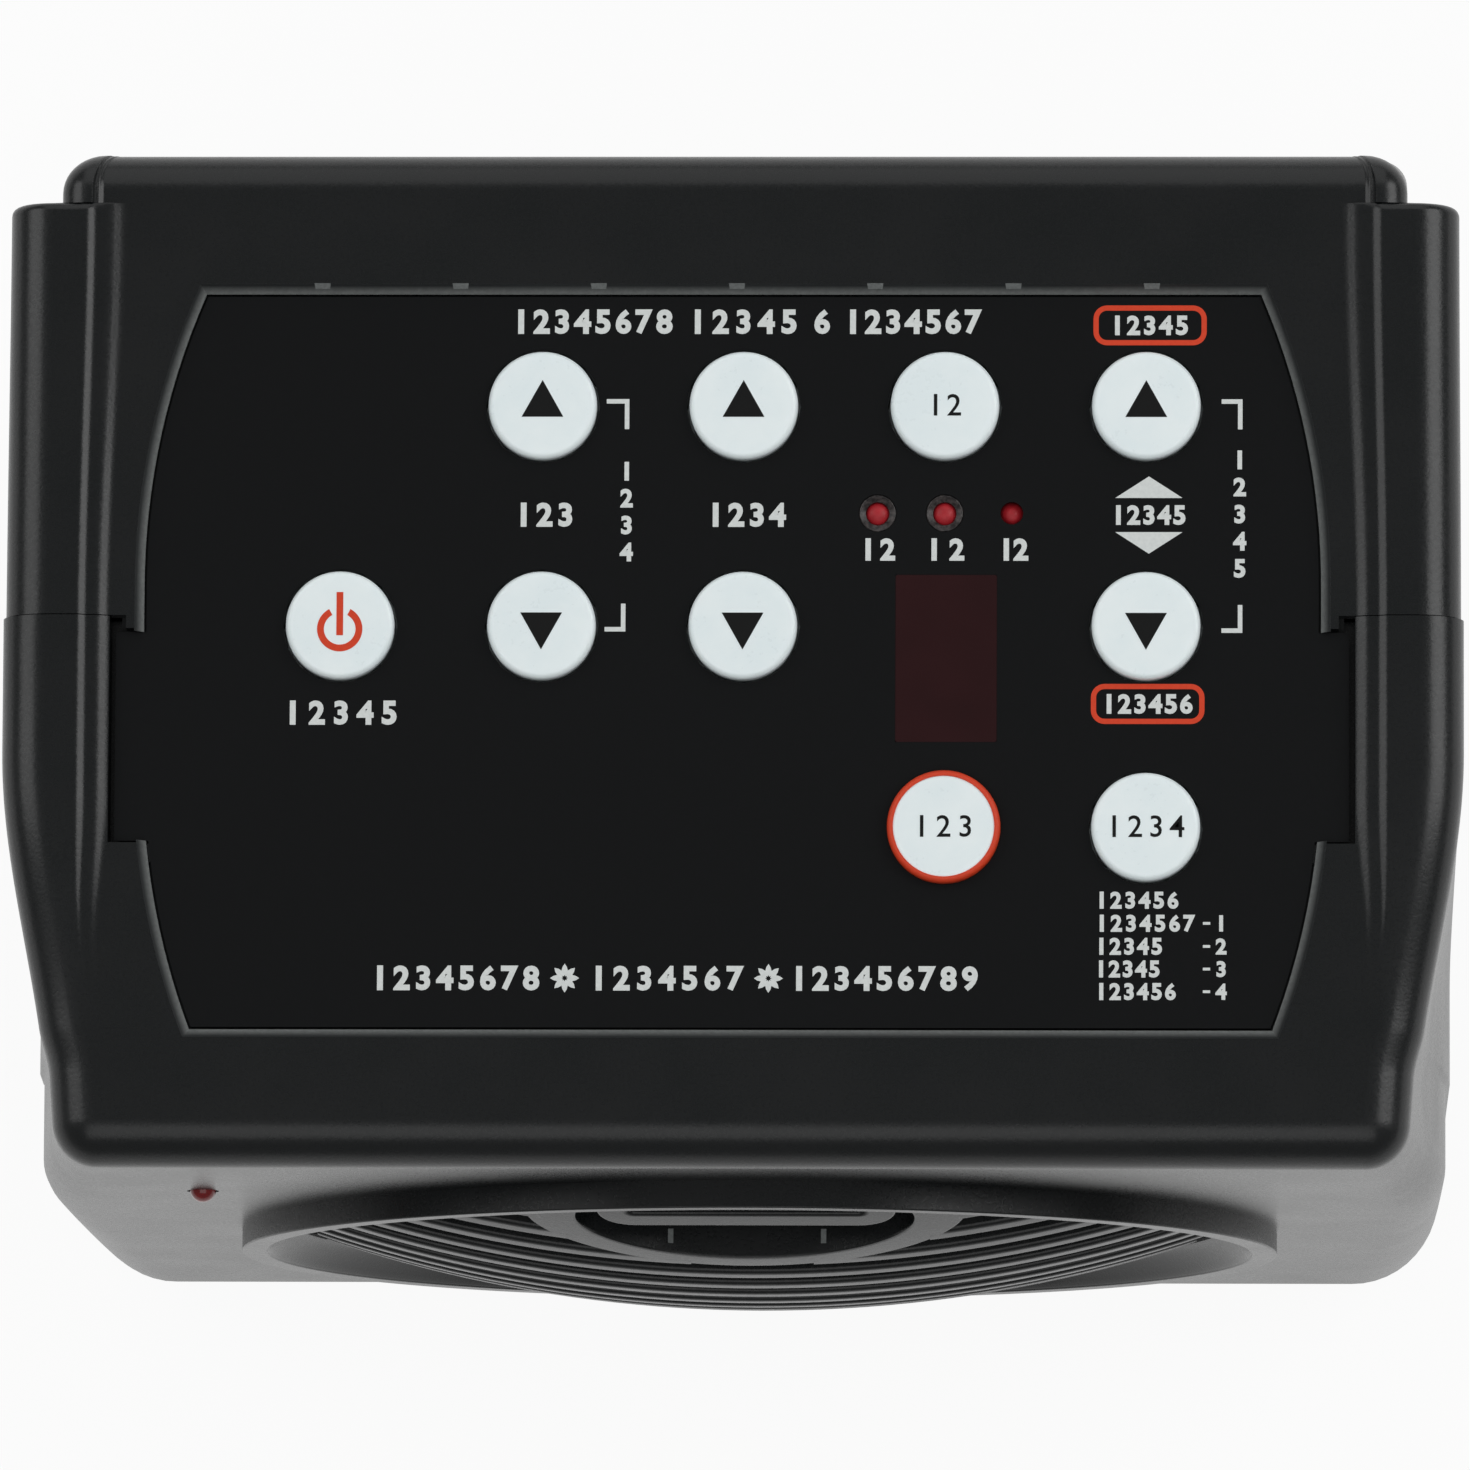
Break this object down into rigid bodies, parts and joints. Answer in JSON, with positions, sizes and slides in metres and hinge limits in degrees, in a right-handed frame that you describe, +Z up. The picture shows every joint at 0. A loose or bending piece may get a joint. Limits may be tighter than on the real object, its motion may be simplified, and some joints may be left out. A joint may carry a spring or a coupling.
{
  "type": "electronic tanpura",
  "caption": "Black box-shaped drone instrument with a keyed control panel on top, a round domed speaker grille in front and a sliding battery door underneath.",
  "frame": {"origin": "on the table, under the centre of the part's bounding box", "axes": "+X to the right as seen from the front, +Y to the rear, away from the grille, +Z up to the control panel"},
  "size_m": [0.1612, 0.1214, 0.1408],
  "materials": {
    "shell_black": "satin, finely grained",
    "plate_black": "satin",
    "label_print": "matt",
    "key_white": "semi gloss",
    "lamp_red": "clear gloss",
    "window_red": "gloss",
    "socket_black": "satin",
    "board_green": "solder mask",
    "steel_pressed": "zinc plated",
    "cone_paper": "matt",
    "magnet_ferrite": "matt",
    "screw_steel": "zinc plated",
    "cell_sleeve": "gloss",
    "contact_brass": "plated",
    "rubber_black": "matt"
  },
  "bodies": {
    "casing": {"front_shell": "shell_black", "rear_shell": "shell_black", "speaker_grille": "shell_black", "control_plate": "plate_black", "panel_label": "label_print", "string_led_left": "lamp_red", "string_led_middle": "lamp_red", "string_led_right": "lamp_red", "power_led": "lamp_red", "display_window": "window_red", "display_module": "socket_black", "power_socket": "socket_black", "line_socket": "socket_black", "key_board": "board_green", "main_board": "board_green", "speaker_frame": "steel_pressed", "speaker_cone": "cone_paper", "speaker_dust_cap": "cone_paper", "speaker_magnet": "magnet_ferrite", "speaker_screw_1": "screw_steel", "speaker_screw_2": "screw_steel", "speaker_screw_3": "screw_steel", "speaker_screw_4": "screw_steel", "case_screw_1": "screw_steel", "case_screw_2": "screw_steel", "case_screw_3": "screw_steel", "case_screw_4": "screw_steel", "battery_cell_left_1": "cell_sleeve", "battery_cell_left_2": "cell_sleeve", "battery_cell_left_3": "cell_sleeve", "battery_cell_right_1": "cell_sleeve", "battery_cell_right_2": "cell_sleeve", "battery_cell_right_3": "cell_sleeve", "battery_contact_left": "contact_brass", "battery_contact_right": "contact_brass", "foot_front_left": "rubber_black", "foot_front_right": "rubber_black", "foot_rear_left": "rubber_black", "foot_rear_right": "rubber_black"},
    "door": {"battery_door": "shell_black"},
    "volume_up_key": {"key_volume_up": "key_white"},
    "tone_up_key": {"key_tone_up": "key_white"},
    "string_key": {"key_string": "key_white"},
    "pitch_up_key": {"key_pitch_up": "key_white"},
    "power_key": {"key_power": "key_white"},
    "volume_down_key": {"key_volume_down": "key_white"},
    "tone_down_key": {"key_tone_down": "key_white"},
    "pitch_down_key": {"key_pitch_down": "key_white"},
    "memory_key": {"key_memory": "key_white"},
    "mode_key": {"key_mode": "key_white"}
  },
  "joints": [
    {"name": "press_volume_up", "type": "slide", "parent": "casing", "child": "volume_up_key", "axis": [0, 0, -1], "range_m": [0, 0.0005], "stiffness_N_per_m": 800, "springref_m": -0.001},
    {"name": "press_tone_up", "type": "slide", "parent": "casing", "child": "tone_up_key", "axis": [0, 0, -1], "range_m": [0, 0.0005], "stiffness_N_per_m": 800, "springref_m": -0.001},
    {"name": "press_string", "type": "slide", "parent": "casing", "child": "string_key", "axis": [0, 0, -1], "range_m": [0, 0.0005], "stiffness_N_per_m": 800, "springref_m": -0.001},
    {"name": "press_pitch_up", "type": "slide", "parent": "casing", "child": "pitch_up_key", "axis": [0, 0, -1], "range_m": [0, 0.0005], "stiffness_N_per_m": 800, "springref_m": -0.001},
    {"name": "press_power", "type": "slide", "parent": "casing", "child": "power_key", "axis": [0, 0, -1], "range_m": [0, 0.0005], "stiffness_N_per_m": 800, "springref_m": -0.001},
    {"name": "press_volume_down", "type": "slide", "parent": "casing", "child": "volume_down_key", "axis": [0, 0, -1], "range_m": [0, 0.0005], "stiffness_N_per_m": 800, "springref_m": -0.001},
    {"name": "press_tone_down", "type": "slide", "parent": "casing", "child": "tone_down_key", "axis": [0, 0, -1], "range_m": [0, 0.0005], "stiffness_N_per_m": 800, "springref_m": -0.001},
    {"name": "press_pitch_down", "type": "slide", "parent": "casing", "child": "pitch_down_key", "axis": [0, 0, -1], "range_m": [0, 0.0005], "stiffness_N_per_m": 800, "springref_m": -0.001},
    {"name": "press_memory", "type": "slide", "parent": "casing", "child": "memory_key", "axis": [0, 0, -1], "range_m": [0, 0.0005], "stiffness_N_per_m": 800, "springref_m": -0.001},
    {"name": "press_mode", "type": "slide", "parent": "casing", "child": "mode_key", "axis": [0, 0, -1], "range_m": [0, 0.0005], "stiffness_N_per_m": 800, "springref_m": -0.001},
    {"name": "door_slide", "type": "slide", "parent": "casing", "child": "door", "axis": [0, 1, 0], "range_m": [0, 0.05]}
  ]
}
